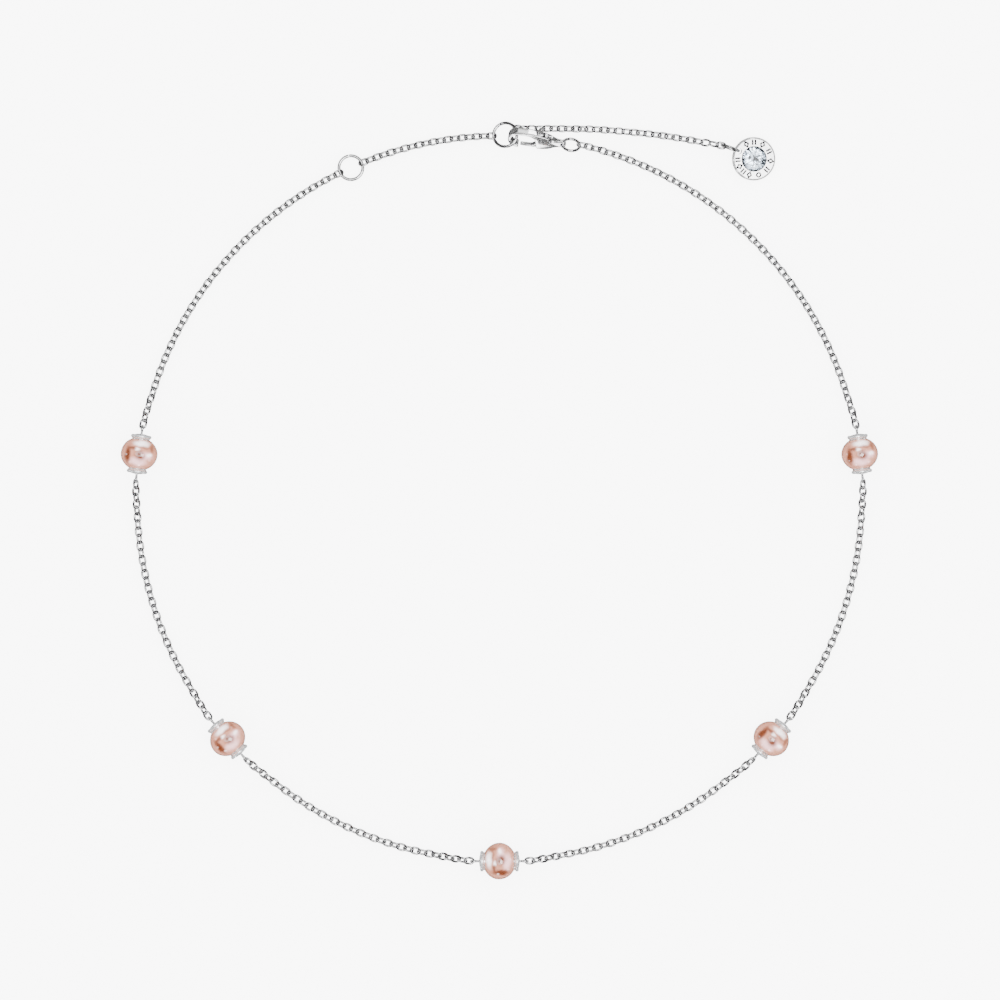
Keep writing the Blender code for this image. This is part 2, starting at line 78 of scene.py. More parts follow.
# Pearl stations. EYE_OPENING is in degrees, and PIN_END_SHARE is a share of the wire's radius.
PEARL_RADIUS = PEARL_HEIGHT
PEARL_HALF_LENGTH = 3.15 * MM
PEARL_BORE = 0.4 * MM
PEARL_UNEVEN = 0.05 * MM
PEARL_WAVE = 2.6 * MM
PEARL_WAVE_LEVEL = 0.35
CAP_RADIUS = 1.95 * MM
CAP_FACE = 3.81 * MM
CAP_BEAD = 0.33 * MM
CAP_BEAD_DEPTH = 0.5 * MM
CAP_FOOT_RADIUS = 1.62 * MM
CAP_BORE = 0.32 * MM
CAP_SEAT_GAP = 0.05 * MM
PIN_RADIUS = 0.23 * MM
PIN_END_SHARE = 0.75
EYE_RADIUS = 0.6 * MM
EYE_CENTRE = 4.75 * MM
EYE_OPENING = 33
EYE_NECK = 0.3 * MM
EYE_BEND = 0.04 * MM
DROP_LENGTH = 8 * MM

# Chain
LINK_WIRE = 0.21 * MM
LINK_HALF_WIDTH = 0.655 * MM
LINK_PITCH = 1.365 * MM
LINK_SOLDER = 1.1
SOLDER_REACH = 0.2 * MM
LINK_TILT = math.radians(36.5)
LINK_SWING = math.radians(2.5)
EYE_SLACK = 0.1 * MM
HEADING_STEP = 0.05 * MM

# Rings: wire centreline radius, wire radius, and the angle in degrees at which each is cut
RING_RADIUS = 2.25 * MM
RING_WIRE = 0.3 * MM
CLASP_RING_RADIUS = 1.64 * MM
CLASP_RING_WIRE = 0.28 * MM
TAG_RING_RADIUS = 1.72 * MM
TAG_RING_WIRE = 0.25 * MM
TAG_RING_LEAN = math.radians(8)
RING_CUT = 0.05 * MM
RING_END_SHARE = 0.93
RING_CUT_ANGLES = {"jump_ring_1": 100, "jump_ring_2": 118, "clasp_ring": 60, "tag_ring": 100}

# Clasp, in its own plane: u from the hook to the eyelet, v across to the arch
CLASP_THICKNESS = 1.7 * MM
CLASP_EDGE = 0.27 * MM
HOOK_RADIUS = 1.84 * MM
HOOK_INNER_RADIUS = 1.2 * MM
LIP_U = 2.15 * MM
LIP_OUTER_CHAMFER = (0.12 * MM, 0.14 * MM)
LIP_INNER_CHAMFER = 0.1 * MM
EYELET_U = 10.3 * MM
EYELET_RADIUS = 0.74 * MM
EYELET_HOLE = 0.41 * MM
EYELET_THICKNESS = 0.8 * MM
TAPER_START_U = 7.6 * MM
TAPER_END_U = 9.5 * MM
RIVET_RADIUS = 0.3 * MM
RIVET_CLEARANCE = 0.02 * MM
RIVET_PROUD = 0.01 * MM
RIVET_DOME = 0.045 * MM
LEVER_THICKNESS = 0.8 * MM
LEVER_EDGE = 0.12 * MM
SLOT_WIDTH = 1.05 * MM
SLOT_U = (3.7 * MM, 7.35 * MM)
POCKET_U = (7.3 * MM, 8.35 * MM)
POCKET_LOW = -0.1 * MM
CUT_REACH = 3 * MM
SPRING_WIRE = 0.08 * MM
SPRING_RADIUS = 0.24 * MM
SPRING_TURNS = 5
SPRING_STEPS = 20
SPRING_START = (7.42 * MM, 0.5 * MM)
SPRING_LENGTH = 0.78 * MM

# Extender: the route of its centreline, and the first link's place along it
EXTENDER_ROUTE = [(3.2, 69.8), (8.4, 69.8), (14.0, 69.75), (19.0, 69.6), (27.2, 68.9)]
EXTENDER_ROUTE += [(32.6, 68.2), (37.9, 67.3), (42.6, 66.4)]
EXTENDER_FIRST = 0.45 * MM
EXTENDER_PITCH = 1.359 * MM
EXTENDER_COUNTS = (8, 7, 7, 7)
EXTENDER_END = 38.25 * MM
EXTENDER_RISE = 0.75 * MM
EXTENDER_RISE_LENGTH = 3.5 * MM

# Tag. The marks' angles are in degrees, from the side away from the tag's ring.
TAG_RADIUS = 4.1 * MM
TAG_THICKNESS = 1.1 * MM
TAG_HOLE_OFFSET = 3.25 * MM
TAG_HOLE_RADIUS = 0.55 * MM
TAG_MOUNT_OFFSET = 2.7 * MM
MARK_RADIUS = 3.14 * MM
MARK_DEPTH = 0.12 * MM
MARK_REACH = 0.52 * MM
MARK_LINE = 0.27 * MM
MARK_GAP = 0.27 * MM
MARK_CIRCLE = 0.38 * MM
MARK_ANGLES = (146, 118, 87, 54, 20, -13, -80, -104, -126, -150)
CIRCLE_ANGLE = -47
LOZENGE_WIDTH_SHARE = 0.72
BAR_WIDTH_SHARE = 0.6
SEAT_GAP = 0.04 * MM
SEAT_DEPTH = 0.2 * MM
STONE_RADIUS = 2.31 * MM
STONE_TABLE = 1.3 * MM
STONE_CROWN = 0.5 * MM
STONE_GIRDLE = 0.12 * MM
STONE_PAVILION = 0.85 * MM
STONE_SUNK = 0.05 * MM
STONE_TURN = 0.2
# Where the stars and the lower facets meet, as shares of the radius and of the crown or pavilion
STAR_OUT, STAR_UP = 0.79, 0.56
LOWER_OUT, LOWER_DOWN = 0.28, 0.77

# Camera: straight above, with a long lens
VIEW_WIDTH = 188.7 * MM
VIEW_CENTRE = Vector((0.11, -0.34, 2)) * MM
LENS = 300
SENSOR = 36

# Studio. TENT_LEVELS runs from straight down at 0, past the horizon at 0.5, to straight up at 1.
FLOOR_SIZE = 16
FLOOR_DROP = 0.01 * MM
TABLE_GLOW = 6.4
TABLE_ALBEDO = 0.45
TABLE_BOUNCE = 0.03
TENT_STRENGTH = 3.8
FILL_STRENGTH = 5.4
TENT_LEVELS = [
    (0.0, (0.02, 0.02, 0.02)),
    (0.915, (0.02, 0.02, 0.02)),
    (0.945, (0.9, 0.9, 0.91)),
    (0.955, (1.0, 1.0, 1.0)),
    (0.9915, (1.0, 1.0, 1.0)),
    (0.9945, (0.03, 0.025, 0.02)),
]
# Softboxes: azimuth and elevation in degrees, width and height in metres, radiance
SOFTBOX_DISTANCE = 0.6
SOFTBOXES = {
    "front_softbox": (-98, 3.5, (0.1, 0.08), 9),
    "back_softbox": (82, 3.5, (0.11, 0.09), 2.5),
    "tag_softbox": (-27, 72, (0.2, 0.2), 11),
    "side_softbox_0": (0, 4, (0.08, 0.1), 5),
    "side_softbox_1": (180, 4, (0.08, 0.1), 5),
    "side_softbox_2": (-41.5, 4, (0.08, 0.1), 5),
    "side_softbox_3": (-138.5, 4, (0.08, 0.1), 5),
}


# ---------------------------------------------------------------- materials


def node_of(tree, kind, **values):
    made = tree.nodes.new(kind)
    for name, value in values.items():
        if name in made.inputs:
            made.inputs[name].default_value = value
        else:
            setattr(made, name, value)
    return made


def new_material(name):
    made = bpy.data.materials.new(name)
    made.use_nodes = True
    tree = made.node_tree
    return made, tree, tree.nodes["Principled BSDF"]


def object_noise(tree, scale, detail, roughness=0.5):
    """Noise in the object's own space. scale is in features per millimetre."""
    coords = node_of(tree, "ShaderNodeTexCoord")
    made = node_of(tree, "ShaderNodeTexNoise", Scale=scale / MM, Detail=detail, Roughness=roughness)
    tree.links.new(coords.outputs["Object"], made.inputs["Vector"])
    return made.outputs["Fac"]


def ramp(tree, factor, stops):
    made = node_of(tree, "ShaderNodeValToRGB")
    while len(made.color_ramp.elements) < len(stops):
        made.color_ramp.elements.new(0.5)
    for element, (place, color) in zip(made.color_ramp.elements, stops):
        element.position = place
        element.color = (*color, 1)
    tree.links.new(factor, made.inputs["Fac"])
    return made.outputs["Color"]


def map_range(tree, value, start, end, low, high, kind="LINEAR"):
    """value, carried from the span that runs from start to end onto the one from low to high."""
    limits = {"From Min": start, "From Max": end, "To Min": low, "To Max": high}
    made = node_of(tree, "ShaderNodeMapRange", interpolation_type=kind, **limits)
    tree.links.new(value, made.inputs["Value"])
    return made.outputs["Result"]


def spread(tree, value, low, high):
    """Noise, which runs from about 0.3 to 0.7, stretched to run from low to high."""
    return map_range(tree, value, 0.3, 0.7, low, high)


def add_bump(tree, shader, height, strength, distance):
    made = node_of(tree, "ShaderNodeBump", Strength=strength, Distance=distance)
    tree.links.new(height, made.inputs["Height"])
    tree.links.new(made.outputs["Normal"], shader.inputs["Normal"])


MARKS_PER_CLOUD = 6
HANDLING_MARK_DEPTH = 0.004 * MM


def silver(name, light, dark, roughness, grain, bump, metallic=1.0):
    """Polished silver: faint clouding of the polish, and fine handling marks.

    roughness is (least, most), and grain is the number of clouds per millimetre.
    """
    made, tree, shader = new_material(name)
    shader.inputs["Metallic"].default_value = metallic
    clouds = object_noise(tree, grain, 3)
    tree.links.new(ramp(tree, clouds, [(0.35, dark), (0.62, light)]), shader.inputs["Base Color"])
    marks = object_noise(tree, grain * MARKS_PER_CLOUD, 4, 0.65)
    tree.links.new(spread(tree, marks, *roughness), shader.inputs["Roughness"])
    add_bump(tree, shader, marks, bump, HANDLING_MARK_DEPTH)
    return made


def ellipse_patch(tree, place, centre, radii, softness):
    """1 inside an ellipsoid and 0 outside it. Place, centre and radii are in millimetres."""
    away = node_of(tree, "ShaderNodeVectorMath", operation="SUBTRACT")
    tree.links.new(place, away.inputs[0])
    away.inputs[1].default_value = centre
    shrunk = node_of(tree, "ShaderNodeVectorMath", operation="DIVIDE")
    tree.links.new(away.outputs["Vector"], shrunk.inputs[0])
    shrunk.inputs[1].default_value = radii
    length = node_of(tree, "ShaderNodeVectorMath", operation="LENGTH")
    tree.links.new(shrunk.outputs["Vector"], length.inputs[0])
    return map_range(
        tree, length.outputs["Value"], 1 + softness, 1 - softness, 0, 1, "SMOOTHSTEP"
    )


def mix_color(tree, factor, base, color, amount):
    scaled = node_of(tree, "ShaderNodeMath", operation="MULTIPLY")
    tree.links.new(factor, scaled.inputs[0])
    scaled.inputs[1].default_value = amount
    made = node_of(tree, "ShaderNodeMix", data_type="RGBA")
    tree.links.new(scaled.outputs["Value"], made.inputs["Factor"])
    tree.links.new(base, made.inputs["A"])
    made.inputs["B"].default_value = (*color, 1)
    return made.outputs["Result"]


PEARL_ROSE = (0.38, 0.15, 0.09)
PEARL_BLUSH = (0.50, 0.22, 0.16)
# Painted light on the pearls: lilac paints reflected bright panels, cream paints highlights, and amber
# paints dark reflection patches.
PAINTED_LILAC_REFLECTION = (0.88, 0.52, 0.54)
PAINTED_CREAM_HIGHLIGHT = (1.0, 0.90, 0.91)
PAINTED_AMBER_REFLECTION = (0.11, 0.024, 0.005)
PEARL_TAN = (0.28, 0.12, 0.05)

# Painted highlights and reflections on a pearl's X side: colour, amount, then in millimetres the
# centre's places across and along the hole, and the reaches across and along it.
PAINTED_REFLECTION_ZONES = [
    (PAINTED_LILAC_REFLECTION, 0.9, -1.35, 0.25, (1.25, 0.7)),
    (PAINTED_LILAC_REFLECTION, 0.8, 0.1, 1.5, (1.5, 0.7)),
    (PAINTED_CREAM_HIGHLIGHT, 1.0, -0.35, -2.0, (1.4, 0.5)),
    (PAINTED_CREAM_HIGHLIGHT, 0.9, 0.3, -0.8, (0.5, 0.32)),
    (PAINTED_CREAM_HIGHLIGHT, 0.8, -2.0, 0.1, (0.45, 0.3)),
    (PAINTED_AMBER_REFLECTION, 1.0, -0.4, 0.3, (0.95, 0.85)),
    (PAINTED_AMBER_REFLECTION, 1.0, 2.05, 0.35, (0.5, 1.5)),
    (PAINTED_AMBER_REFLECTION, 0.8, 1.25, -0.9, (0.7, 0.34)),
    (PAINTED_AMBER_REFLECTION, 0.6, -2.4, -1.2, (0.4, 0.6)),
    (PAINTED_AMBER_REFLECTION, 0.45, -1.1, -1.3, (1.0, 0.22)),
]


# Depth, soft edges and wandering of the painted highlights and reflections.
ZONE_DEPTH = 1.6
ZONE_SOFTNESS = 0.65
ZONE_WANDER = 0.9
TAN_AMOUNT = 0.45
NACRE_GRAIN_DEPTH = 0.03 * MM
NACRE_FINISH = {
    "Metallic": 0.1,
    "IOR": 1.66,
    "Specular Tint": (1.0, 0.9, 0.98, 1),
    "Coat Weight": 1,
    "Coat Roughness": 0.05,
    "Coat IOR": 1.75,
}


def nacre():
    """Pink nacre: soft zones of painted highlight and reflection with wandering edges, a faint grain,
    and a deep gloss.
    """
    made, tree, shader = new_material("nacre")
    coords = node_of(tree, "ShaderNodeTexCoord")
    place = node_of(tree, "ShaderNodeVectorMath", operation="SCALE")
    tree.links.new(coords.outputs["Object"], place.inputs[0])
    place.inputs["Scale"].default_value = 1 / MM
    wander = node_of(tree, "ShaderNodeTexNoise", Scale=0.6, Detail=2.0)
    tree.links.new(place.outputs["Vector"], wander.inputs["Vector"])
    centred = node_of(tree, "ShaderNodeVectorMath", operation="SUBTRACT")
    tree.links.new(wander.outputs["Color"], centred.inputs[0])
    centred.inputs[1].default_value = (0.5, 0.5, 0.5)
    warped = node_of(tree, "ShaderNodeVectorMath", operation="MULTIPLY_ADD")
    tree.links.new(centred.outputs["Vector"], warped.inputs[0])
    warped.inputs[1].default_value = [ZONE_WANDER] * 3
    tree.links.new(place.outputs["Vector"], warped.inputs[2])

    body = object_noise(tree, 0.32, 2)
    color = ramp(tree, body, [(0.3, PEARL_ROSE), (0.7, PEARL_BLUSH)])
    low = object_noise(tree, 0.42, 3)
    under = map_range(tree, low, 0.56, 0.7, 0, 1)
    color = mix_color(tree, under, color, PEARL_TAN, TAN_AMOUNT)
    radius = PEARL_RADIUS / MM
    # Each zone paints a highlight or a reflection into the base colour.
    for tint, amount, across, along, (across_reach, along_reach) in PAINTED_REFLECTION_ZONES:
        height = math.sqrt(radius**2 - across**2 - along**2)
        centre = (height, across, along)
        reach = (ZONE_DEPTH, across_reach, along_reach)
        zone = ellipse_patch(tree, warped.outputs["Vector"], centre, reach, ZONE_SOFTNESS)
        color = mix_color(tree, zone, color, tint, amount)
    tree.links.new(color, shader.inputs["Base Color"])

    fine = object_noise(tree, 1.6, 4, 0.6)
    tree.links.new(spread(tree, fine, 0.16, 0.27), shader.inputs["Roughness"])
    add_bump(tree, shader, fine, 0.12, NACRE_GRAIN_DEPTH)
    for name, value in NACRE_FINISH.items():
        shader.inputs[name].default_value = value
    return made


def cut_stone():
    """A clear stone, with the faintest clouding of blue."""
    made, tree, shader = new_material("cut_stone")
    clouds = object_noise(tree, 0.8, 2)
    tint = ramp(tree, clouds, [(0.35, (0.84, 0.91, 0.98)), (0.65, (0.95, 0.98, 1.0))])
    tree.links.new(tint, shader.inputs["Base Color"])
    shader.inputs["Transmission Weight"].default_value = 1
    shader.inputs["Roughness"].default_value = 0.0
    shader.inputs["IOR"].default_value = 1.75
    return made


def stone_foil():
    """The silvering behind the stone, which sends the light back up through its facets."""
    made, tree, shader = new_material("stone_foil")
    clouds = object_noise(tree, 1.1, 2)
    tint = ramp(tree, clouds, [(0.35, (0.80, 0.86, 0.93)), (0.65, (0.92, 0.95, 0.98))])
    tree.links.new(tint, shader.inputs["Base Color"])
    shader.inputs["Metallic"].default_value = 1
    tree.links.new(spread(tree, clouds, 0.02, 0.06), shader.inputs["Roughness"])
    return made


def oxide():
    """The black that fills the tag's engraving."""
    made, tree, shader = new_material("engraving_oxide")
    grains = object_noise(tree, 9, 3)
    color = ramp(tree, grains, [(0.3, (0.004, 0.004, 0.0045)), (0.7, (0.012, 0.012, 0.013))])
    tree.links.new(color, shader.inputs["Base Color"])
    tree.links.new(spread(tree, grains, 0.6, 0.85), shader.inputs["Roughness"])
    shader.inputs["Specular IOR Level"].default_value = 0.1
    return made


BRIGHT = (0.95, 0.95, 0.955)
CLOUDED = (0.87, 0.875, 0.885)
MATERIALS = {
    "chain_silver": silver("chain_polish", BRIGHT, CLOUDED, (0.05, 0.14), 1.2, 0.05, 0.98),
    "cap_silver": silver("cap_polish", BRIGHT, CLOUDED, (0.1, 0.18), 0.8, 0.05, 0.78),
    "pin_silver": silver("pin_polish", BRIGHT, CLOUDED, (0.06, 0.16), 1.4, 0.05, 0.94),
    "ring_silver": silver("ring_polish", BRIGHT, CLOUDED, (0.04, 0.1), 1.0, 0.04, 0.985),
    "clasp_silver": silver("clasp_polish", BRIGHT, CLOUDED, (0.12, 0.2), 0.6, 0.08, 0.96),
    "tag_silver": silver("tag_polish", BRIGHT, CLOUDED, (0.1, 0.2), 0.7, 0.08, 0.82),
    "spring_steel": silver("spring_wire", (0.66, 0.66, 0.68), (0.5, 0.5, 0.52), (0.2, 0.35), 4, 0.1),
    "pearl": nacre(),
    "clear_stone": cut_stone(),
}
OXIDE = oxide()
FOIL = stone_foil()


# ---------------------------------------------------------------- mesh helpers


WELD = 1e-7
DRILL_SIDES = 40


def piece_of(name, mesh, matrix, *nodes):
    """A finished piece that stands for these nodes of the frame, which share a body and a finish."""
    made = bpy.data.objects.new(name, mesh)
    made.matrix_world = matrix
    bpy.context.scene.collection.objects.link(made)
    if not any(mesh.materials):
        mesh.materials.clear()
        mesh.materials.append(MATERIALS[SLOT_OF[nodes[0]]])
    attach(made, BODY_OF[nodes[0]])
    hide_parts(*nodes)
    return made


def frame_matrix(origin, x_axis, y_axis):
    x_axis = Vector(x_axis).normalized()
    z_axis = x_axis.cross(Vector(y_axis)).normalized()
    y_axis = z_axis.cross(x_axis)
    made = Matrix((x_axis, y_axis, z_axis)).transposed().to_4x4()
    made.translation = origin
    return made


def smooth(mesh, degrees=40):
    mesh.shade_smooth()
    mesh.set_sharp_from_angle(angle=math.radians(degrees))


def arc(centre, radius, start, end, count):
    """count + 1 points from start to end degrees around a centre in a plane."""
    angles = [math.radians(start + (end - start) * i / count) for i in range(count + 1)]
    return [(centre[0] + radius * math.cos(a), centre[1] + radius * math.sin(a)) for a in angles]


def ease(share):
    share = min(max(share, 0), 1)
    return share * share * (3 - 2 * share)


def catmull(before, start, end, after, t):
    """A point on the smooth curve between start and end."""
    return 0.5 * (
        2 * start
        + (end - before) * t
        + (2 * before - 5 * start + 4 * end - after) * t**2
        + (3 * start - before - 3 * end + after) * t**3
    )


def rounded(points, pieces=5):
    """A smooth curve through points of a plane, with each span cut into pieces."""
    knots = [Vector(point) for point in points]
    made = []
    for i in range(len(knots) - 1):
        before, after = knots[max(i - 1, 0)], knots[min(i + 2, len(knots) - 1)]
        made += [catmull(before, knots[i], knots[i + 1], after, j / pieces) for j in range(pieces)]
    return [tuple(point) for point in made + [knots[-1]]]


def solid_mesh(name, points, faces, weld=False):
    """A closed mesh whose faces all look outward. weld joins the points that coincide."""
    mesh = bpy.data.meshes.new(name)
    mesh.from_pydata(points, [], faces)
    shape = bmesh.new()
    shape.from_mesh(mesh)
    if weld:
        bmesh.ops.remove_doubles(shape, verts=shape.verts, dist=WELD)
    bmesh.ops.recalc_face_normals(shape, faces=shape.faces)
    shape.to_mesh(mesh)
    shape.free()
    return mesh


def turned(name, profile, steps):
    """A closed profile of (radius, height) points turned round Z, given down its outer side."""
    count = len(profile)
    points = []
    for step in range(steps):
        angle = 2 * math.pi * step / steps
        points += [(r * math.cos(angle), r * math.sin(angle), z) for r, z in profile]
    faces = []
    for step in range(steps):
        near, far = step * count, (step + 1) % steps * count
        for i in range(count):
            j = (i + 1) % count
            faces.append((near + i, near + j, far + j, far + i))
    return solid_mesh(name, points, faces, weld=True)


def wire_geometry(path, radii, sides, closed):
    """Points and faces of a round wire whose centreline lies in the XY plane."""
    count = len(path)
    points, faces = [], []
    for i, (x, y) in enumerate(path):
        before = path[i - 1] if closed or i else path[0]
        after = path[(i + 1) % count] if closed or i < count - 1 else path[-1]
        way = Vector((after[0] - before[0], after[1] - before[1])).normalized()
        for side in range(sides):
            angle = 2 * math.pi * side / sides
            out = radii[i] * math.cos(angle)
            points.append((x + way.y * out, y - way.x * out, radii[i] * math.sin(angle)))
    for i in range(count if closed else count - 1):
        near, far = i * sides, (i + 1) % count * sides
        for side in range(sides):
            following = (side + 1) % sides
            faces.append((near + side, far + side, far + following, near + following))
    if not closed:
        faces.append(tuple(range(sides)))
        faces.append(tuple(reversed(range((count - 1) * sides, count * sides))))
    return points, faces


def wire_mesh(name, copies):
    """One mesh from several (matrix, path, radii, sides, closed) wires."""
    points, faces = [], []
    for matrix, path, radii, sides, closed in copies:
        own_points, own_faces = wire_geometry(path, radii, sides, closed)
        first = len(points)
        points += [tuple(matrix @ Vector(point)) for point in own_points]
        faces += [tuple(first + i for i in face) for face in own_faces]
    mesh = solid_mesh(name, points, faces)
    smooth(mesh, 60)
    return mesh


def prism(name, outline, half_thickness):
    """A flat outline of (u, v) points made solid. half_thickness(u) is its reach each way."""
    count = len(outline)
    points = [(u, v, -half_thickness(u)) for u, v in outline]
    points += [(u, v, half_thickness(u)) for u, v in outline]
    faces = [tuple(range(count)), tuple(range(count, 2 * count))]
    for i in range(count):
        j = (i + 1) % count
        faces.append((i, j, count + j, count + i))
    return solid_mesh(name, points, faces)


def block(name, low, high):
    """The square cutter for a slot, between two corners."""
    mesh = bpy.data.meshes.new(name)
    shape = bmesh.new()
    bmesh.ops.create_cube(shape, size=1)
    low, high = Vector(low), Vector(high)
    size = Matrix.Diagonal((*(high - low), 1))
    bmesh.ops.transform(shape, matrix=Matrix.Translation((low + high) / 2) @ size, verts=shape.verts)
    shape.to_mesh(mesh)
    shape.free()
    return mesh


def drill(name, radius, centre, length):
    """The round cutter for a hole along Z."""
    mesh = bpy.data.meshes.new(name)
    shape = bmesh.new()
    place = Matrix.Translation((*centre, 0))
    bmesh.ops.create_cone(
        shape,
        cap_ends=True,
        segments=DRILL_SIDES,
        radius1=radius,
        radius2=radius,
        depth=length,
        matrix=place,
    )
    shape.to_mesh(mesh)
    shape.free()
    return mesh


def carved(name, mesh, edge, segments, tools):
    """The mesh with its edges rounded, and then cut by each tool's mesh."""
    scratch = []
    body = bpy.data.objects.new(name, mesh)
    bpy.context.scene.collection.objects.link(body)
    scratch.append(body)
    if edge:
        bevel = body.modifiers.new("edges", "BEVEL")
        bevel.width = edge
        bevel.segments = segments
        bevel.limit_method = "ANGLE"
        bevel.angle_limit = math.radians(50)
    for tool_mesh in tools:
        tool = bpy.data.objects.new(tool_mesh.name, tool_mesh)
        bpy.context.scene.collection.objects.link(tool)
        scratch.append(tool)
        cut = body.modifiers.new(tool_mesh.name, "BOOLEAN")
        cut.operation = "DIFFERENCE"
        cut.solver = "EXACT"
        cut.material_mode = "TRANSFER"
        cut.object = tool
    bpy.context.view_layer.update()
    graph = bpy.context.evaluated_depsgraph_get()
    made = bpy.data.meshes.new_from_object(body.evaluated_get(graph))
    made.name = name + "_shape"
    for obj in scratch:
        bpy.data.objects.remove(obj, do_unlink=True)
    return made


# ---------------------------------------------------------------- pearls, caps and pins


def station_matrix(number):
    """A pearl's frame: X up, Z along the hole, to the viewer's right or, on pearls 4 and 5, left."""
    name = f"pearl_{number}_spin"
    axis = joint_axis(name) * (1 if number <= 3 else -1)
    return frame_matrix(joint_place(name), UP, axis.cross(UP))


def pearl_mesh(number):
    """A near-round pearl, drilled, with the slow unevenness of a grown one."""
    lean = math.acos(PEARL_BORE / PEARL_RADIUS)
    count = 40
    profile = []
    for i in range(count + 1):
        angle = lean - 2 * lean * i / count
        profile.append((PEARL_RADIUS * math.cos(angle), PEARL_HALF_LENGTH * math.sin(angle)))
    mesh = turned(f"pearl_{number}_nacre", profile, 96)
    seed = Vector((17.3, 5.1, 9.7)) * number
    for vertex in mesh.vertices:
        across = vertex.co.to_2d().length
        share = min(across / PEARL_RADIUS, 1)
        wave = noise.noise(vertex.co / PEARL_WAVE + seed) - PEARL_WAVE_LEVEL
        vertex.co += vertex.co.normalized() * min(wave, 0) * PEARL_UNEVEN * share
    smooth(mesh)
    return mesh


def cap_profile():
    """A shallow dome with a groove at its foot, a rounded bead, a neck, and a hollow seat."""
    face = CAP_FACE
    dome = [(0.3, 0.02), (0.42, -0.01), (0.8, -0.045), (1.15, -0.13), (1.36, -0.24), (1.42, -0.3)]
    profile = [(r * MM, face + z * MM) for r, z in dome]
    bead_centre = (CAP_RADIUS - CAP_BEAD, face - CAP_BEAD_DEPTH)
    profile += arc(bead_centre, CAP_BEAD, 118, -72, 12)
    neck = [(1.7, -0.9), (1.66, -1.0), (1.67, -1.14)]
    profile += [(r * MM, face + z * MM) for r, z in neck]
    seat_radius = PEARL_RADIUS + CAP_SEAT_GAP
    seat_half_length = PEARL_HALF_LENGTH + CAP_SEAT_GAP
    for i in range(6):
        radius = CAP_FOOT_RADIUS + (CAP_BORE - CAP_FOOT_RADIUS) * i / 5
        profile.append((radius, seat_half_length * math.sqrt(1 - (radius / seat_radius) ** 2)))
    return profile


def eye_pin_path():
    """Half of an eye pin from its wire's end, round the eye, to the pearl's centre. Y is the hole."""
    path = arc((0, EYE_CENTRE), EYE_RADIUS, -90 + EYE_OPENING, 270 - EYE_OPENING, 26)
    foot = EYE_CENTRE - EYE_RADIUS
    start = Vector(path[-1])
    end = Vector((0, foot - EYE_NECK))
    middle = Vector((-EYE_BEND, foot - EYE_BEND / 2))
    for i in range(1, 9):
        t = i / 8
        path.append(tuple(start * (1 - t) ** 2 + middle * 2 * t * (1 - t) + end * t**2))
    path += [(0, end.y * (1 - i / 4)) for i in range(1, 5)]
    return path


def add_stations():
    cap = turned("bead_cap", cap_profile(), 72)
    smooth(cap, 50)
    half = eye_pin_path()
    path = half + [(-x, -y) for x, y in reversed(half[:-1])]
    tip = PIN_RADIUS * PIN_END_SHARE
    radii = [tip] + [PIN_RADIUS] * (len(path) - 2) + [tip]
    flat = frame_matrix((0, 0, 0), (1, 0, 0), (0, 0, 1))
    pin = wire_mesh("eye_pin", [(flat, path, radii, 14, False)])
    for number in range(1, 6):
        matrix = station_matrix(number)
        piece_of(f"pearl_{number}_bead", pearl_mesh(number), matrix, f"pearl_{number}")
        towards = joint_axis(f"pearl_{number}_spin")
        for letter, sign in (("a", 1), ("b", -1)):
            axis = towards * sign
            place = frame_matrix(joint_place(f"pearl_{number}_spin"), UP, axis.cross(UP))
            piece_of(f"bead_cap_{number}{letter}", cap, place, f"cap_{number}{letter}")
        piece_of(f"pin_{number}", pin, matrix, f"eye_pin_{number}")


# ---------------------------------------------------------------- chain


def loop_point(side, angle):
    """The chain's centreline, which climbs from the surface to each pearl's eyes and the clasp."""
    away = min(abs(angle - n * STATION_STEP) for n in range(3)) * LOOP_RADIUS
    rise = 1 - ease((away - EYE_CENTRE) / DROP_LENGTH)
    tangent_reach = math.hypot(LOOP_RADIUS, min(away, EYE_CENTRE)) - LOOP_RADIUS
    radius = LOOP_RADIUS + tangent_reach * rise
    height = CHAIN_HEIGHT + (PEARL_HEIGHT - CHAIN_HEIGHT) * rise
    if side > 0:
        ring = joint_place("clasp_ring_spin")
        to_ring = (angle_of(ring) - angle) * LOOP_RADIUS - CLASP_RING_RADIUS
        height += (ring.z - CHAIN_HEIGHT) * (1 - ease(to_ring / DROP_LENGTH))
    return Vector((side * radius * math.sin(angle), -radius * math.cos(angle), height))


def angle_of(place):
    return math.atan2(abs(place.x), -place.y)


def fold_angle(name):
    return math.acos(-joint_place(name).y / LOOP_RADIUS)


def extender_point(distance):
    """The extender's centreline: down from its ring, along the surface, and up to the tag's ring."""
    knots = [Vector(point) * MM for point in EXTENDER_ROUTE]
    lengths = [(b - a).length for a, b in zip(knots, knots[1:])]
    to_tag = EXTENDER_END - distance
    from_ring = 1 - ease(distance / EXTENDER_RISE_LENGTH)
    span = 0
    while span < len(lengths) - 1 and distance > lengths[span]:
        distance -= lengths[span]
        span += 1
    before, after = knots[max(span - 1, 0)], knots[min(span + 2, len(knots) - 1)]
    place = catmull(before, knots[span], knots[span + 1], after, distance / lengths[span])
    lift = (joint_place("tag_swing").z - CHAIN_HEIGHT) * (1 - ease(to_tag / (DROP_LENGTH / 2)))
    return Vector((place.x, place.y, CHAIN_HEIGHT + lift + EXTENDER_RISE * from_ring))


def link_outline(pitch):
    """A link's centreline: two straight sides and two half rounds."""
    half_length = pitch / 2 + LINK_WIRE
    straight = half_length - LINK_HALF_WIDTH
    return arc((straight, 0), LINK_HALF_WIDTH, -90, 90, 11) + arc(
        (-straight, 0), LINK_HALF_WIDTH, 90, 270, 11
    )


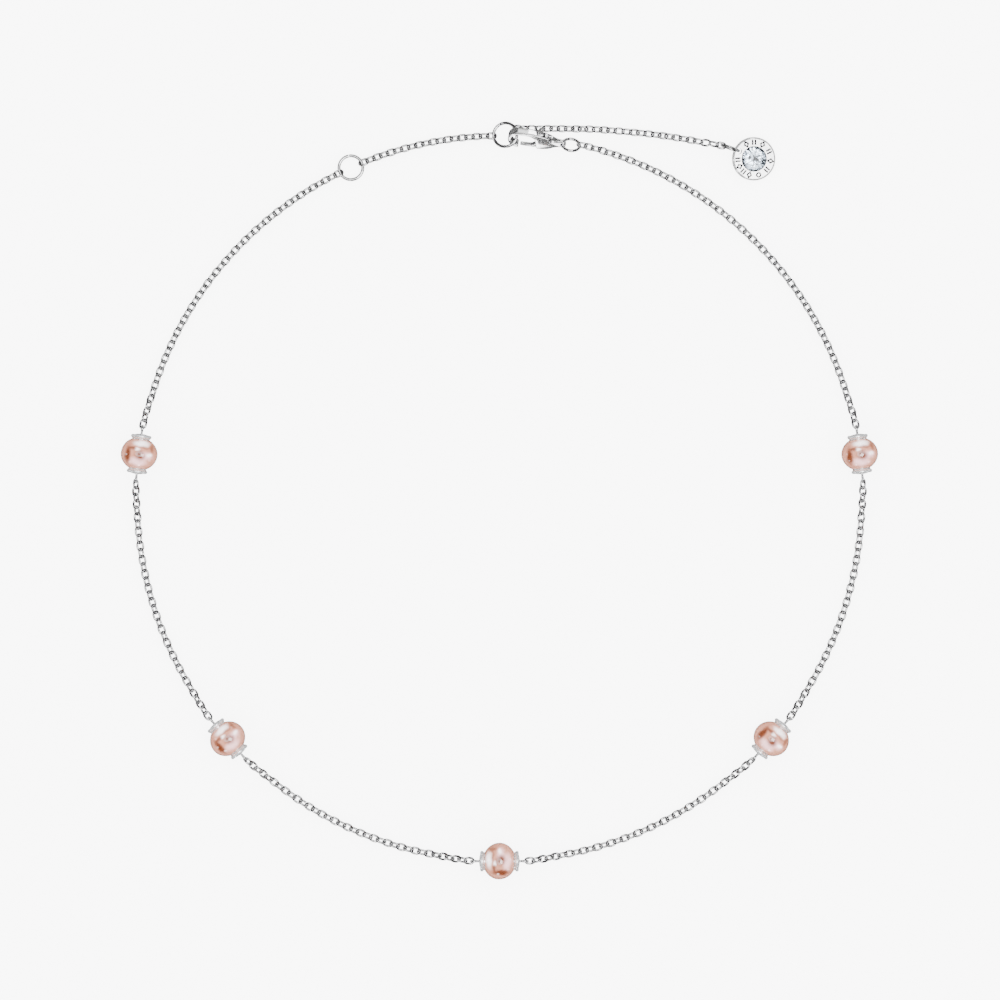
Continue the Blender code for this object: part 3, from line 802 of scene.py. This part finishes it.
def link_radii(outline):
    """The wire's radius, a little fuller where each link is soldered, halfway along one side."""
    made = []
    for x, y in outline:
        near = max(0, 1 - abs(x) / SOLDER_REACH) if y < 0 else 0
        made.append(LINK_WIRE * (1 + (LINK_SOLDER - 1) * near))
    return made


def link_matrix(path, distance, raised_side, odd, draw):
    """A link's frame: X along the chain. Each link is turned a quarter from the one before."""
    place = path(distance)
    along = (path(distance + HEADING_STEP) - path(distance - HEADING_STEP)).normalized()
    side = (raised_side(place) - along * raised_side(place).dot(along)).normalized()
    normal = side.cross(along)
    normal = normal if normal.z > 0 else -normal
    turn = LINK_TILT - (math.pi / 2 if odd else 0) + draw.uniform(-LINK_SWING, LINK_SWING)
    across = side * math.cos(turn) + normal * math.sin(turn)
    reach = LINK_HALF_WIDTH * abs(across.z) + LINK_WIRE * LINK_SOLDER
    place.z = max(place.z, reach)
    return frame_matrix(place, along, across)


def add_links(node, path, centres, pitch, raised_side, first_odd, draw):
    outline = link_outline(pitch)
    radii = link_radii(outline)
    copies = []
    for i, distance in enumerate(centres):
        matrix = link_matrix(path, distance, raised_side, (i + first_odd) % 2, draw)
        copies.append((matrix, outline, radii, 10, True))
    mesh = wire_mesh(f"{node}_links", copies)
    piece_of(f"{node}_links", mesh, Matrix.Identity(4), node)


def by_distance(point_at, start, end):
    """(path, length): point_at over a parameter, as a path by distance from its start."""
    count = 400
    shares = [start + (end - start) * i / count for i in range(count + 1)]
    samples = [point_at(share) for share in shares]
    reached = [0.0]
    for before, after in zip(samples, samples[1:]):
        reached.append(reached[-1] + (after - before).length)

    def path(distance):
        index = 0
        while index < count - 1 and reached[index + 1] < distance:
            index += 1
        span = reached[index + 1] - reached[index]
        return samples[index].lerp(samples[index + 1], (distance - reached[index]) / span)

    return path, reached[-1]


def inward(place):
    return Vector((-place.x, -place.y, 0)).normalized()


def outward(place):
    return -inward(place)


def forward(place):
    """The front's direction, which is the same wherever the link lies."""
    return Vector((0, -1, 0))


def add_run(node, side, start, end, raised_side, draw):
    """Links between two ends. An end is (angle, slack): how far past the end the first wire lies."""
    path, length = by_distance(lambda angle: loop_point(side, angle), start[0], end[0])
    room = length - start[1] - end[1]
    count = round(room / LINK_PITCH)
    pitch = room / count
    centres = [start[1] + (i + 0.5) * pitch for i in range(count)]
    add_links(node, path, centres, pitch, raised_side, 0, draw)


def add_loop_chain(draw):
    eye = EYE_CENTRE / LOOP_RADIUS
    at_eye = LINK_WIRE + EYE_SLACK
    ring_1, ring_2 = joint_place("jump_ring_1_spin"), joint_place("jump_ring_2_spin")
    clasp_ring = angle_of(joint_place("clasp_ring_spin")) - CLASP_RING_RADIUS / LOOP_RADIUS
    ring_reach = RING_RADIUS / LOOP_RADIUS
    last = {
        "left": (angle_of(ring_1) - ring_reach, -RING_WIRE),
        "right": (clasp_ring, -CLASP_RING_WIRE),
    }
    side_fold = (fold_angle("fold_side"), 0)
    mid_fold = (fold_angle("fold_mid"), 0)
    front_fold = (fold_angle("fold_front"), 0)
    outer, inner = 2 * STATION_STEP, STATION_STEP
    for side, word in ((-1, "left"), (1, "right")):
        runs = {
            f"chain_side_{word}_upper": (side_fold, last[word], inward),
            f"chain_side_{word}_lower": ((outer + eye, at_eye), side_fold, inward),
            f"chain_mid_{word}_upper": (mid_fold, (outer - eye, at_eye), outward),
            f"chain_mid_{word}_lower": ((inner + eye, at_eye), mid_fold, outward),
            f"chain_front_{word}_upper": (front_fold, (inner - eye, at_eye), outward),
            f"chain_front_{word}_lower": ((eye, at_eye), front_fold, outward),
        }
        for node, (start, end, raised_side) in runs.items():
            add_run(node, side, start, end, raised_side, draw)
    back_start = (angle_of(ring_1) + ring_reach, -RING_WIRE)
    back_end = (math.pi + ring_2.x / LOOP_RADIUS - ring_reach, -RING_WIRE)
    add_run("chain_back", -1, back_start, back_end, inward, draw)


def add_extender(draw):
    first = 0
    for number, count in enumerate(EXTENDER_COUNTS, 1):
        places = range(first, first + count)
        centres = [EXTENDER_FIRST + EXTENDER_PITCH * i for i in places]
        node = f"extender_{number}"
        add_links(node, extender_point, centres, EXTENDER_PITCH, forward, first % 2, draw)
        first += count


# ---------------------------------------------------------------- rings


def add_ring(node, matrix, radius, wire):
    """A ring of wire, bent round until its squared ends almost meet."""
    cut_angle, gap = RING_CUT_ANGLES[node], math.degrees(RING_CUT / radius)
    path = arc((0, 0), radius, cut_angle + gap / 2, cut_angle + 360 - gap / 2, 72)
    tip = wire * RING_END_SHARE
    radii = [tip] + [wire] * (len(path) - 2) + [tip]
    mesh = wire_mesh(f"{node}_wire", [(Matrix.Identity(4), path, radii, 20, False)])
    piece_of(f"{node}_wire", mesh, matrix, node)


def add_rings():
    for node in ("jump_ring_1", "jump_ring_2"):
        axis = joint_axis(f"{node}_spin")
        along = Vector((1, 0, 0)) - axis * axis.x
        matrix = frame_matrix(joint_place(f"{node}_spin"), along, axis.cross(along))
        add_ring(node, matrix, RING_RADIUS, RING_WIRE)
    length = joint_axis("clasp_roll")
    axis = joint_axis("clasp_ring_spin")
    matrix = frame_matrix(joint_place("clasp_ring_spin"), length, axis.cross(length))
    add_ring("clasp_ring", matrix, CLASP_RING_RADIUS, CLASP_RING_WIRE)
    heading = joint_axis("tag_ring_roll")
    lean = Matrix.Rotation(TAG_RING_LEAN, 3, heading)
    matrix = frame_matrix(joint_place("tag_swing"), heading, lean @ UP)
    add_ring("tag_ring", matrix, TAG_RING_RADIUS, TAG_RING_WIRE)


# ---------------------------------------------------------------- clasp


def clasp_matrix():
    """The clasp's plane: X along its length, Y across to the arch."""
    length = joint_axis("clasp_roll")
    normal = -joint_axis("lever")
    return frame_matrix(joint_place("clasp_roll"), length, normal.cross(length))


def clasp_outline():
    """Hook, arch, tail, eyelet, belly, and back along the opening to the lip."""
    hook = (HOOK_RADIUS, 0)
    tail = [(1.84, 1.84), (3.8, 1.82), (5.2, 1.68), (6.4, 1.5), (7.6, 1.25), (8.6, 0.98), (9.6, 0.78)]
    belly = [(10.0, -0.72), (8.6, -1.0), (7.4, -1.3), (6.5, -1.46), (5.75, -1.52)]
    inside = [(5.75, -1.52), (5.45, -1.15), (5.35, -0.4), (5.15, 0.35), (4.7, 0.85), (4.1, 1.12)]
    inside += [(3.2, 1.2)]
    back, drop = LIP_OUTER_CHAMFER
    outline = arc(hook, HOOK_RADIUS, 90, 270, 32)
    outline += [(LIP_U - back, -HOOK_RADIUS), (LIP_U, -HOOK_RADIUS + drop)]
    outline += [(LIP_U, -HOOK_INNER_RADIUS - LIP_INNER_CHAMFER)]
    outline += [(LIP_U - LIP_INNER_CHAMFER, -HOOK_INNER_RADIUS)]
    outline += arc(hook, HOOK_INNER_RADIUS, 270, 90, 28)
    outline += [(u * MM, v * MM) for u, v in reversed(rounded(inside)[1:])]
    outline += [(u * MM, v * MM) for u, v in reversed(rounded(belly))]
    outline += arc((EYELET_U, 0), EYELET_RADIUS, -100, 100, 24)
    outline += [(u * MM, v * MM) for u, v in reversed(rounded(tail)[1:])]
    return outline


def clasp_half_thickness(u):
    taper = ease((u - TAPER_START_U) / (TAPER_END_U - TAPER_START_U))
    return (CLASP_THICKNESS + (EYELET_THICKNESS - CLASP_THICKNESS) * taper) / 2


def lever_outline():
    """Thumb tab above the pivot, and below it the tongue that closes the hook."""
    tab = [(6.55, 1.4), (6.5, 2.4), (6.42, 2.75), (6.2, 2.93), (5.95, 2.93), (5.75, 2.85)]
    tab += [(5.55, 2.62), (5.48, 2.2), (5.45, 1.5)]
    heel = rounded([(5.5, 0.2), (5.38, -0.3), (5.2, -0.6), (4.7, -1.02), (4.1, -1.17), (3.3, -1.21)])
    tongue = [(2.55, -1.22), (2.45, -1.3), (2.45, -1.55), (2.55, -1.62)]
    under = [(3.6, -1.64), (4.9, -1.6), (5.8, -1.35), (6.35, -1.0), (6.7, -0.6), (6.95, 0.0), (6.9, 0.6)]
    return [(u * MM, v * MM) for u, v in tab + heel + tongue + rounded(under)]


def rivet_profile():
    """A pin with low domed heads."""
    half = CLASP_THICKNESS / 2 + RIVET_PROUD
    profile = []
    for angle in [math.radians(degrees) for degrees in range(0, 91, 15)]:
        radius = max(RIVET_RADIUS * math.sin(angle), 1e-6)
        profile.append((radius, half + RIVET_DOME * math.cos(angle)))
    return profile + [(r, -z) for r, z in reversed(profile)]


def add_clasp():
    matrix = clasp_matrix()
    pivot = matrix.inverted() @ joint_place("lever")
    half_slot, bore_radius = SLOT_WIDTH / 2, RIVET_RADIUS + RIVET_CLEARANCE
    slot_ends = (SLOT_U[0], -CUT_REACH, -half_slot), (SLOT_U[1], CUT_REACH, half_slot)
    pocket_ends = (POCKET_U[0], POCKET_LOW, -half_slot), (POCKET_U[1], CUT_REACH, half_slot)
    tools = [
        block("lever_slot", *slot_ends),
        block("spring_pocket", *pocket_ends),
        drill("rivet_bore", bore_radius, pivot.to_2d(), CUT_REACH),
        drill("eyelet_hole", EYELET_HOLE, (EYELET_U, 0), CUT_REACH),
    ]
    plate = prism("clasp_plate", clasp_outline(), clasp_half_thickness)
    body = carved("clasp_casting", plate, CLASP_EDGE, 4, tools)
    smooth(body, 35)
    piece_of("clasp_casting", body, matrix, "clasp_body")

    lever_plate = prism("lever_plate", lever_outline(), lambda u: LEVER_THICKNESS / 2)
    bore = drill("lever_bore", bore_radius, pivot.to_2d(), CUT_REACH)
    lever = carved("clasp_trigger", lever_plate, LEVER_EDGE, 3, [bore])
    smooth(lever, 35)
    piece_of("clasp_trigger", lever, matrix, "clasp_lever")

    rivet = turned("rivet_head", rivet_profile(), 40)
    smooth(rivet, 40)
    piece_of("clasp_rivet_pin", rivet, matrix @ Matrix.Translation(pivot), "clasp_rivet")
    piece_of("trigger_spring", spring_mesh(), matrix, "lever_spring")


def spring_mesh():
    """The coil spring in its pocket, behind the lever."""
    curve = bpy.data.curves.new("trigger_spring", "CURVE")
    curve.dimensions = "3D"
    curve.bevel_depth = SPRING_WIRE
    curve.bevel_resolution = 3
    curve.use_fill_caps = True
    spline = curve.splines.new("POLY")
    count = SPRING_STEPS * SPRING_TURNS
    start_u, middle_v = SPRING_START
    spline.points.add(count)
    for i, point in enumerate(spline.points):
        angle = 2 * math.pi * i / SPRING_STEPS
        u = start_u + SPRING_LENGTH * i / count
        v = middle_v + SPRING_RADIUS * math.cos(angle)
        point.co = (u, v, SPRING_RADIUS * math.sin(angle), 1)
    holder = bpy.data.objects.new("spring_guide", curve)
    bpy.context.scene.collection.objects.link(holder)
    bpy.context.view_layer.update()
    graph = bpy.context.evaluated_depsgraph_get()
    mesh = bpy.data.meshes.new_from_object(holder.evaluated_get(graph))
    bpy.data.objects.remove(holder, do_unlink=True)
    shape = bmesh.new()
    shape.from_mesh(mesh)
    bmesh.ops.remove_doubles(shape, verts=shape.verts, dist=WELD)
    shape.to_mesh(mesh)
    shape.free()
    mesh.materials.clear()
    smooth(mesh, 60)
    return mesh


# ---------------------------------------------------------------- tag and stone


def tag_matrix():
    """Origin at the tag's centre on its back, X away from its ring, Z out of its face."""
    mount = RECORD["mounts"][0]
    face_normal = -Vector(mount["axis"])
    across = UP.cross(face_normal).normalized()
    centre = Vector(mount["pos_m"]) - across * TAG_MOUNT_OFFSET
    return frame_matrix(centre, across.cross(face_normal), across)


def disc_profile():
    """A bevelled edge to the stone's seat, the face, a chamfered rim, the back, and the seat's cone."""
    seat, top, rim = STONE_RADIUS + SEAT_GAP, TAG_THICKNESS, TAG_RADIUS
    seat_edge = [(0, -0.06), (0.07, 0)]
    chamfer = [(-0.33, 0), (-0.03, -0.28), (0, -0.34)]
    back_edge = [(0, 0.12), (-0.03, 0.03), (-0.12, 0)]
    back_hole = [(1.2, 0), (1.15, 0.04)]
    profile = [(seat + r * MM, top + z * MM) for r, z in seat_edge]
    profile += [(rim + r * MM, top + z * MM) for r, z in chamfer]
    profile += [(rim + r * MM, z * MM) for r, z in back_edge]
    profile += [(r * MM, z * MM) for r, z in back_hole]
    profile.append((seat, top - SEAT_DEPTH - STONE_GIRDLE))
    return profile


def mark_meshes(angle, lozenge):
    """The cutters for one engraved mark on the tag's face: a lozenge outline, or a pair of bars."""
    way = Vector((math.cos(angle), math.sin(angle)))
    across = Vector((-way.y, way.x))
    centre = way * MARK_RADIUS
    if lozenge:
        long, wide, line = MARK_REACH, MARK_REACH * LOZENGE_WIDTH_SHARE, MARK_LINE
        corners = [(long, 0), (0, wide), (-long, 0), (0, -wide)]
        shapes = []
        for (a, b), (c, d) in zip(corners, corners[1:] + corners[:1]):
            span = Vector((c - a, d - b)).normalized()
            side = Vector((-span.y, span.x)) * line / 2
            start, end = Vector((a, b)) - span * line / 2, Vector((c, d)) + span * line / 2
            shapes.append([start - side, end - side, end + side, start + side])
    else:
        shapes = []
        for shift in (-MARK_GAP, MARK_GAP):
            corner = Vector((MARK_REACH, MARK_LINE * BAR_WIDTH_SHARE))
            base = Vector((0, shift))
            signs = ((1, 1), (-1, 1), (-1, -1), (1, -1))
            shapes.append([base + Vector((corner.x * a, corner.y * b)) for a, b in signs])
    made = []
    for shape in shapes:
        outline = [tuple(centre + way * point.x + across * point.y) for point in shape]
        mesh = prism("tag_mark", outline, lambda u: MARK_DEPTH)
        mesh.transform(Matrix.Translation((0, 0, TAG_THICKNESS)))
        mesh.materials.append(OXIDE)
        made.append(mesh)
    return made


def circle_groove(angle):
    """The cutters for the small engraved circle near the tag's edge: two half rings that meet."""
    centre = Vector((math.cos(angle), math.sin(angle))) * MARK_RADIUS
    made = []
    for start in (0, 180):
        turns = [math.radians(start + 7.5 * i) for i in range(25)]
        ways = [Vector((math.cos(turn), math.sin(turn))) for turn in turns]
        outer = [centre + way * (MARK_CIRCLE + MARK_LINE / 2) for way in ways]
        inner = [centre + way * (MARK_CIRCLE - MARK_LINE / 2) for way in reversed(ways)]
        mesh = prism("circle_mark", [tuple(point) for point in outer + inner], lambda u: MARK_DEPTH)
        mesh.transform(Matrix.Translation((0, 0, TAG_THICKNESS)))
        mesh.materials.append(OXIDE)
        made.append(mesh)
    return made


def stone_mesh():
    """A round brilliant: table, stars, kites and halves above the girdle, and the pavilion below."""
    girdle_top = TAG_THICKNESS - STONE_SUNK
    girdle_low = girdle_top - STONE_GIRDLE
    table_height = girdle_top + STONE_CROWN
    culet = girdle_low - STONE_PAVILION

    def ring(count, radius, height, turn=0.0):
        angles = [2 * math.pi * (i + turn) / count for i in range(count)]
        return [(radius * math.cos(a), radius * math.sin(a), height) for a in angles]

    table = ring(8, STONE_TABLE, table_height)
    stars = ring(8, STONE_RADIUS * STAR_OUT, girdle_top + STONE_CROWN * STAR_UP, 0.5)
    top = ring(16, STONE_RADIUS, girdle_top)
    low = ring(16, STONE_RADIUS, girdle_low)
    lower = ring(8, STONE_RADIUS * LOWER_OUT, girdle_low - STONE_PAVILION * LOWER_DOWN, 0.5)
    points = table + stars + top + low + lower + [(0, 0, culet)]
    t, s, g, b, w, tip = 0, 8, 16, 32, 48, 56
    faces = [tuple(range(8))]
    for i in range(8):
        j, near, far, middle = (i + 1) % 8, 2 * i, (2 * i + 2) % 16, 2 * i + 1
        before = (i - 1) % 8
        faces.append((t + i, s + i, t + j))
        faces.append((t + i, s + before, g + near, s + i))
        faces.append((s + i, g + near, g + middle))
        faces.append((s + i, g + middle, g + far))
        faces.append((w + i, b + middle, b + near))
        faces.append((w + i, b + far, b + middle))
        faces.append((tip, w + i, b + near, w + before))
    for i in range(16):
        j = (i + 1) % 16
        faces.append((g + i, b + i, b + j, g + j))
    mesh = solid_mesh("brilliant", points, faces)
    mesh.shade_flat()
    mesh.materials.append(MATERIALS["clear_stone"])
    mesh.materials.append(FOIL)
    for face in mesh.polygons:
        face.material_index = int(face.center.z < girdle_low - 1e-6)
    return mesh


def add_tag():
    matrix = tag_matrix()
    tools = [drill("tag_hole", TAG_HOLE_RADIUS, (-TAG_HOLE_OFFSET, 0), 4 * MM)]
    for i, degrees in enumerate(MARK_ANGLES):
        tools += mark_meshes(math.radians(degrees), i % 2 == 0)
    tools += circle_groove(math.radians(CIRCLE_ANGLE))
    blank = turned("tag_blank", disc_profile(), 144)
    blank.materials.append(MATERIALS["tag_silver"])
    disc = carved("tag_plate", blank, 0, 1, tools)
    smooth(disc, 25)
    piece_of("tag_plate", disc, matrix, "tag_disc")
    stone = stone_mesh()
    piece_of("brilliant_stone", stone, matrix @ Matrix.Rotation(STONE_TURN, 4, "Z"), "tag_stone")


# ---------------------------------------------------------------- studio


def choose(tree, kind_of_ray, otherwise, chosen):
    """A shader that is the chosen one for one kind of ray, and the other for every other kind."""
    made = node_of(tree, "ShaderNodeMixShader")
    paths = node_of(tree, "ShaderNodeLightPath")
    tree.links.new(paths.outputs[kind_of_ray], made.inputs["Fac"])
    tree.links.new(otherwise.outputs[0], made.inputs[1])
    tree.links.new(chosen.outputs[0], made.inputs[2])
    return made


def add_floor():
    """A lit white table. Only the camera sees its glow, and mirrored rays see it nearly black."""
    bpy.ops.mesh.primitive_plane_add(size=FLOOR_SIZE, location=(0, 0, -FLOOR_DROP))
    floor = bpy.context.object
    floor.name = "floor"
    made, tree, shader = new_material("light_table")
    shader.inputs["Base Color"].default_value = (*[TABLE_BOUNCE] * 3, 1)
    shader.inputs["Roughness"].default_value = 0.02
    shader.inputs["Specular IOR Level"].default_value = 0.2
    matt = node_of(tree, "ShaderNodeBsdfDiffuse", Color=(*[TABLE_ALBEDO] * 3, 1))
    glow = node_of(tree, "ShaderNodeEmission", Color=(1, 1, 1, 1), Strength=TABLE_GLOW)
    lit = node_of(tree, "ShaderNodeAddShader")
    tree.links.new(matt.outputs[0], lit.inputs[0])
    tree.links.new(glow.outputs[0], lit.inputs[1])
    bounce = choose(tree, "Is Glossy Ray", matt, shader)
    choice = choose(tree, "Is Camera Ray", bounce, lit)
    tree.links.new(choice.outputs[0], tree.nodes["Material Output"].inputs["Surface"])
    floor.data.materials.append(made)


def add_softbox(name, azimuth, elevation, size, radiance):
    """A soft panel that faces the necklace's middle, and that the camera doesn't see."""
    azimuth, elevation = math.radians(azimuth), math.radians(elevation)
    level = math.cos(elevation)
    place = Vector((math.cos(azimuth) * level, math.sin(azimuth) * level, math.sin(elevation)))
    light = bpy.data.lights.new(name, "AREA")
    light.shape = "RECTANGLE"
    light.size, light.size_y = size
    light.energy = radiance * math.pi * size[0] * size[1]
    holder = bpy.data.objects.new(name, light)
    holder.location = place * SOFTBOX_DISTANCE
    holder.rotation_euler = (-place).to_track_quat("-Z", "Y").to_euler()
    holder.visible_camera = False
    bpy.context.scene.collection.objects.link(holder)


def add_tent():
    """A tent that is bright overhead, with dark sides that line the metal's edges.

    Matt surfaces are lit by an even fill instead, and the camera sees the table's white past the table.
    """
    world = bpy.data.worlds.new("tent")
    world.use_nodes = True
    bpy.context.scene.world = world
    tree = world.node_tree
    background = tree.nodes["Background"]
    coords = node_of(tree, "ShaderNodeTexCoord")
    split = node_of(tree, "ShaderNodeSeparateXYZ")
    tree.links.new(coords.outputs["Generated"], split.inputs["Vector"])
    level = ramp(tree, split.outputs["Z"], TENT_LEVELS)
    tree.links.new(level, background.inputs["Color"])
    background.inputs["Strength"].default_value = TENT_STRENGTH
    fill = node_of(tree, "ShaderNodeBackground", Color=(1, 1, 1, 1), Strength=FILL_STRENGTH)
    behind = node_of(tree, "ShaderNodeBackground", Color=(1, 1, 1, 1), Strength=TABLE_GLOW)
    lit = choose(tree, "Is Diffuse Ray", background, fill)
    choice = choose(tree, "Is Camera Ray", lit, behind)
    tree.links.new(choice.outputs[0], tree.nodes["World Output"].inputs["Surface"])


def add_studio():
    add_floor()
    add_tent()
    for name, values in SOFTBOXES.items():
        add_softbox(name, *values)


def add_camera():
    camera = bpy.data.cameras.new("camera")
    camera.lens = LENS
    camera.sensor_width = SENSOR
    camera.clip_start = 0.01
    holder = bpy.data.objects.new("camera", camera)
    distance = VIEW_WIDTH * LENS / SENSOR
    holder.location = VIEW_CENTRE + UP * distance
    bpy.context.scene.collection.objects.link(holder)
    bpy.context.scene.camera = holder


def main():
    draw = random.Random(7)
    add_camera()
    add_stations()
    add_loop_chain(draw)
    add_extender(draw)
    add_rings()
    add_clasp()
    add_tag()
    add_studio()


main()
